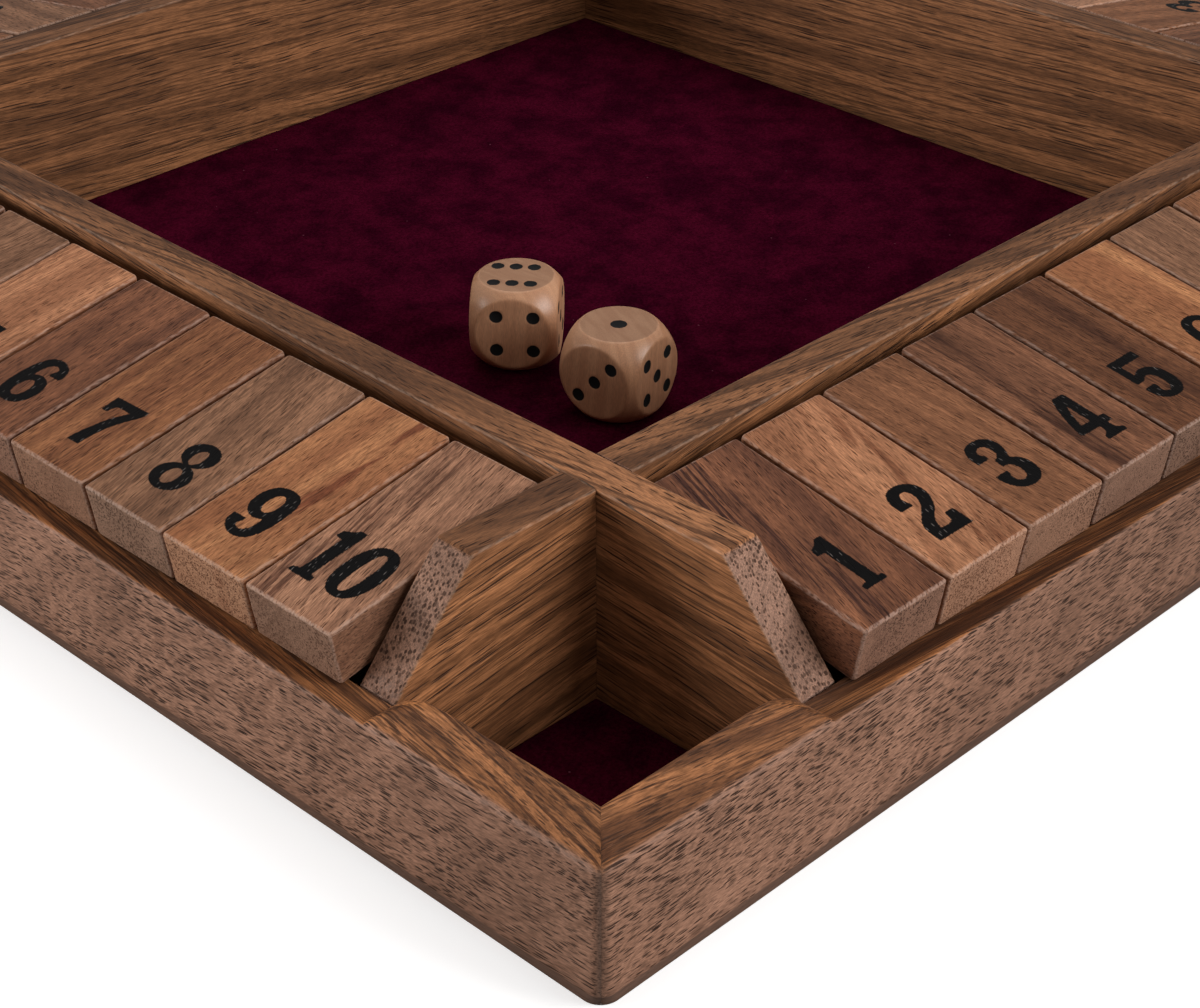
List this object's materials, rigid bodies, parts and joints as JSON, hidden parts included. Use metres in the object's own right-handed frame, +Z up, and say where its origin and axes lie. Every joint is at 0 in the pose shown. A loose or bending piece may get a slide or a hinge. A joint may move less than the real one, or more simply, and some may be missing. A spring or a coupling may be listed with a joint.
{
  "type": "shut the box game",
  "caption": "Low square wooden dice tray lined with felt, with a row of numbered hinged wooden tiles along each side, small corner wells and loose dice.",
  "frame": {"origin": "on the table, under the middle of the box", "axes": "+Z up, +X to the right and +Y away from the player at the front side; each side of the box is parallel to X or Y"},
  "size_m": [0.3, 0.3, 0.0418],
  "materials": {
    "rail_wood": "open-grained satin oil",
    "board_wood": "open-grained satin oil",
    "rod_steel": "plain drawn",
    "tile_wood_01": "sanded, worn at the edges",
    "tile_wood_02": "sanded, worn at the edges",
    "tile_wood_03": "sanded, worn at the edges",
    "tile_wood_04": "sanded, worn at the edges",
    "tile_wood_05": "sanded, worn at the edges",
    "tile_wood_06": "sanded, worn at the edges",
    "tile_wood_07": "sanded, worn at the edges",
    "tile_wood_08": "sanded, worn at the edges",
    "tile_wood_09": "sanded, worn at the edges",
    "tile_wood_10": "sanded, worn at the edges",
    "panel_plywood": "unfinished plywood",
    "maroon_felt": "felt",
    "die_wood": "smooth, tumbled"
  },
  "bodies": {
    "box": {"rail_front": "rail_wood", "board_front": "board_wood", "rod_front": "rod_steel", "rail_left": "rail_wood", "board_left": "board_wood", "rod_left": "rod_steel", "rail_back": "rail_wood", "board_back": "board_wood", "rod_back": "rod_steel", "rail_right": "rail_wood", "board_right": "board_wood", "rod_right": "rod_steel", "base_panel": "panel_plywood", "felt_tray": "maroon_felt", "felt_well_front_left": "maroon_felt", "felt_well_front_right": "maroon_felt", "felt_well_back_right": "maroon_felt", "felt_well_back_left": "maroon_felt"},
    "tile_front_01": {"tile_front_01": "tile_wood_01"},
    "tile_front_02": {"tile_front_02": "tile_wood_02"},
    "tile_front_03": {"tile_front_03": "tile_wood_03"},
    "tile_front_04": {"tile_front_04": "tile_wood_04"},
    "tile_front_05": {"tile_front_05": "tile_wood_05"},
    "tile_front_06": {"tile_front_06": "tile_wood_06"},
    "tile_front_07": {"tile_front_07": "tile_wood_07"},
    "tile_front_08": {"tile_front_08": "tile_wood_08"},
    "tile_front_09": {"tile_front_09": "tile_wood_09"},
    "tile_front_10": {"tile_front_10": "tile_wood_10"},
    "tile_left_01": {"tile_left_01": "tile_wood_01"},
    "tile_left_02": {"tile_left_02": "tile_wood_02"},
    "tile_left_03": {"tile_left_03": "tile_wood_03"},
    "tile_left_04": {"tile_left_04": "tile_wood_04"},
    "tile_left_05": {"tile_left_05": "tile_wood_05"},
    "tile_left_06": {"tile_left_06": "tile_wood_06"},
    "tile_left_07": {"tile_left_07": "tile_wood_07"},
    "tile_left_08": {"tile_left_08": "tile_wood_08"},
    "tile_left_09": {"tile_left_09": "tile_wood_09"},
    "tile_left_10": {"tile_left_10": "tile_wood_10"},
    "tile_back_01": {"tile_back_01": "tile_wood_01"},
    "tile_back_02": {"tile_back_02": "tile_wood_02"},
    "tile_back_03": {"tile_back_03": "tile_wood_03"},
    "tile_back_04": {"tile_back_04": "tile_wood_04"},
    "tile_back_05": {"tile_back_05": "tile_wood_05"},
    "tile_back_06": {"tile_back_06": "tile_wood_06"},
    "tile_back_07": {"tile_back_07": "tile_wood_07"},
    "tile_back_08": {"tile_back_08": "tile_wood_08"},
    "tile_back_09": {"tile_back_09": "tile_wood_09"},
    "tile_back_10": {"tile_back_10": "tile_wood_10"},
    "tile_right_01": {"tile_right_01": "tile_wood_01"},
    "tile_right_02": {"tile_right_02": "tile_wood_02"},
    "tile_right_03": {"tile_right_03": "tile_wood_03"},
    "tile_right_04": {"tile_right_04": "tile_wood_04"},
    "tile_right_05": {"tile_right_05": "tile_wood_05"},
    "tile_right_06": {"tile_right_06": "tile_wood_06"},
    "tile_right_07": {"tile_right_07": "tile_wood_07"},
    "tile_right_08": {"tile_right_08": "tile_wood_08"},
    "tile_right_09": {"tile_right_09": "tile_wood_09"},
    "tile_right_10": {"tile_right_10": "tile_wood_10"},
    "die_1": {"die_1": "die_wood"},
    "die_2": {"die_2": "die_wood"}
  },
  "joints": [
    {"name": "flip_front_01", "type": "hinge", "parent": "box", "child": "tile_front_01", "pos_m": [-0.08595, -0.1104, 0.0352], "axis": [-1, 0, 0], "range_deg": [0, 115]},
    {"name": "flip_front_02", "type": "hinge", "parent": "box", "child": "tile_front_02", "pos_m": [-0.06685, -0.1104, 0.0352], "axis": [-1, 0, 0], "range_deg": [0, 115]},
    {"name": "flip_front_03", "type": "hinge", "parent": "box", "child": "tile_front_03", "pos_m": [-0.04775, -0.1104, 0.0352], "axis": [-1, 0, 0], "range_deg": [0, 115]},
    {"name": "flip_front_04", "type": "hinge", "parent": "box", "child": "tile_front_04", "pos_m": [-0.02865, -0.1104, 0.0352], "axis": [-1, 0, 0], "range_deg": [0, 115]},
    {"name": "flip_front_05", "type": "hinge", "parent": "box", "child": "tile_front_05", "pos_m": [-0.00955, -0.1104, 0.0352], "axis": [-1, 0, 0], "range_deg": [0, 115]},
    {"name": "flip_front_06", "type": "hinge", "parent": "box", "child": "tile_front_06", "pos_m": [0.00955, -0.1104, 0.0352], "axis": [-1, 0, 0], "range_deg": [0, 115]},
    {"name": "flip_front_07", "type": "hinge", "parent": "box", "child": "tile_front_07", "pos_m": [0.02865, -0.1104, 0.0352], "axis": [-1, 0, 0], "range_deg": [0, 115]},
    {"name": "flip_front_08", "type": "hinge", "parent": "box", "child": "tile_front_08", "pos_m": [0.04775, -0.1104, 0.0352], "axis": [-1, 0, 0], "range_deg": [0, 115]},
    {"name": "flip_front_09", "type": "hinge", "parent": "box", "child": "tile_front_09", "pos_m": [0.06685, -0.1104, 0.0352], "axis": [-1, 0, 0], "range_deg": [0, 115]},
    {"name": "flip_front_10", "type": "hinge", "parent": "box", "child": "tile_front_10", "pos_m": [0.08595, -0.1104, 0.0352], "axis": [-1, 0, 0], "range_deg": [0, 115]},
    {"name": "flip_left_01", "type": "hinge", "parent": "box", "child": "tile_left_01", "pos_m": [-0.1104, 0.08595, 0.0352], "axis": [0, 1, 0], "range_deg": [0, 115]},
    {"name": "flip_left_02", "type": "hinge", "parent": "box", "child": "tile_left_02", "pos_m": [-0.1104, 0.06685, 0.0352], "axis": [0, 1, 0], "range_deg": [0, 115]},
    {"name": "flip_left_03", "type": "hinge", "parent": "box", "child": "tile_left_03", "pos_m": [-0.1104, 0.04775, 0.0352], "axis": [0, 1, 0], "range_deg": [0, 115]},
    {"name": "flip_left_04", "type": "hinge", "parent": "box", "child": "tile_left_04", "pos_m": [-0.1104, 0.02865, 0.0352], "axis": [0, 1, 0], "range_deg": [0, 115]},
    {"name": "flip_left_05", "type": "hinge", "parent": "box", "child": "tile_left_05", "pos_m": [-0.1104, 0.00955, 0.0352], "axis": [0, 1, 0], "range_deg": [0, 115]},
    {"name": "flip_left_06", "type": "hinge", "parent": "box", "child": "tile_left_06", "pos_m": [-0.1104, -0.00955, 0.0352], "axis": [0, 1, 0], "range_deg": [0, 115]},
    {"name": "flip_left_07", "type": "hinge", "parent": "box", "child": "tile_left_07", "pos_m": [-0.1104, -0.02865, 0.0352], "axis": [0, 1, 0], "range_deg": [0, 115]},
    {"name": "flip_left_08", "type": "hinge", "parent": "box", "child": "tile_left_08", "pos_m": [-0.1104, -0.04775, 0.0352], "axis": [0, 1, 0], "range_deg": [0, 115]},
    {"name": "flip_left_09", "type": "hinge", "parent": "box", "child": "tile_left_09", "pos_m": [-0.1104, -0.06685, 0.0352], "axis": [0, 1, 0], "range_deg": [0, 115]},
    {"name": "flip_left_10", "type": "hinge", "parent": "box", "child": "tile_left_10", "pos_m": [-0.1104, -0.08595, 0.0352], "axis": [0, 1, 0], "range_deg": [0, 115]},
    {"name": "flip_back_01", "type": "hinge", "parent": "box", "child": "tile_back_01", "pos_m": [0.08595, 0.1104, 0.0352], "axis": [1, 0, 0], "range_deg": [0, 115]},
    {"name": "flip_back_02", "type": "hinge", "parent": "box", "child": "tile_back_02", "pos_m": [0.06685, 0.1104, 0.0352], "axis": [1, 0, 0], "range_deg": [0, 115]},
    {"name": "flip_back_03", "type": "hinge", "parent": "box", "child": "tile_back_03", "pos_m": [0.04775, 0.1104, 0.0352], "axis": [1, 0, 0], "range_deg": [0, 115]},
    {"name": "flip_back_04", "type": "hinge", "parent": "box", "child": "tile_back_04", "pos_m": [0.02865, 0.1104, 0.0352], "axis": [1, 0, 0], "range_deg": [0, 115]},
    {"name": "flip_back_05", "type": "hinge", "parent": "box", "child": "tile_back_05", "pos_m": [0.00955, 0.1104, 0.0352], "axis": [1, 0, 0], "range_deg": [0, 115]},
    {"name": "flip_back_06", "type": "hinge", "parent": "box", "child": "tile_back_06", "pos_m": [-0.00955, 0.1104, 0.0352], "axis": [1, 0, 0], "range_deg": [0, 115]},
    {"name": "flip_back_07", "type": "hinge", "parent": "box", "child": "tile_back_07", "pos_m": [-0.02865, 0.1104, 0.0352], "axis": [1, 0, 0], "range_deg": [0, 115]},
    {"name": "flip_back_08", "type": "hinge", "parent": "box", "child": "tile_back_08", "pos_m": [-0.04775, 0.1104, 0.0352], "axis": [1, 0, 0], "range_deg": [0, 115]},
    {"name": "flip_back_09", "type": "hinge", "parent": "box", "child": "tile_back_09", "pos_m": [-0.06685, 0.1104, 0.0352], "axis": [1, 0, 0], "range_deg": [0, 115]},
    {"name": "flip_back_10", "type": "hinge", "parent": "box", "child": "tile_back_10", "pos_m": [-0.08595, 0.1104, 0.0352], "axis": [1, 0, 0], "range_deg": [0, 115]},
    {"name": "flip_right_01", "type": "hinge", "parent": "box", "child": "tile_right_01", "pos_m": [0.1104, -0.08595, 0.0352], "axis": [0, -1, 0], "range_deg": [0, 115]},
    {"name": "flip_right_02", "type": "hinge", "parent": "box", "child": "tile_right_02", "pos_m": [0.1104, -0.06685, 0.0352], "axis": [0, -1, 0], "range_deg": [0, 115]},
    {"name": "flip_right_03", "type": "hinge", "parent": "box", "child": "tile_right_03", "pos_m": [0.1104, -0.04775, 0.0352], "axis": [0, -1, 0], "range_deg": [0, 115]},
    {"name": "flip_right_04", "type": "hinge", "parent": "box", "child": "tile_right_04", "pos_m": [0.1104, -0.02865, 0.0352], "axis": [0, -1, 0], "range_deg": [0, 115]},
    {"name": "flip_right_05", "type": "hinge", "parent": "box", "child": "tile_right_05", "pos_m": [0.1104, -0.00955, 0.0352], "axis": [0, -1, 0], "range_deg": [0, 115]},
    {"name": "flip_right_06", "type": "hinge", "parent": "box", "child": "tile_right_06", "pos_m": [0.1104, 0.00955, 0.0352], "axis": [0, -1, 0], "range_deg": [0, 115]},
    {"name": "flip_right_07", "type": "hinge", "parent": "box", "child": "tile_right_07", "pos_m": [0.1104, 0.02865, 0.0352], "axis": [0, -1, 0], "range_deg": [0, 115]},
    {"name": "flip_right_08", "type": "hinge", "parent": "box", "child": "tile_right_08", "pos_m": [0.1104, 0.04775, 0.0352], "axis": [0, -1, 0], "range_deg": [0, 115]},
    {"name": "flip_right_09", "type": "hinge", "parent": "box", "child": "tile_right_09", "pos_m": [0.1104, 0.06685, 0.0352], "axis": [0, -1, 0], "range_deg": [0, 115]},
    {"name": "flip_right_10", "type": "hinge", "parent": "box", "child": "tile_right_10", "pos_m": [0.1104, 0.08595, 0.0352], "axis": [0, -1, 0], "range_deg": [0, 115]},
    {"name": "lift_die_1", "type": "slide", "parent": "box", "child": "die_1", "axis": [0, 0, 1], "range_m": [0, 0.06]},
    {"name": "lift_die_2", "type": "slide", "parent": "box", "child": "die_2", "axis": [0, 0, 1], "range_m": [0, 0.06]}
  ]
}
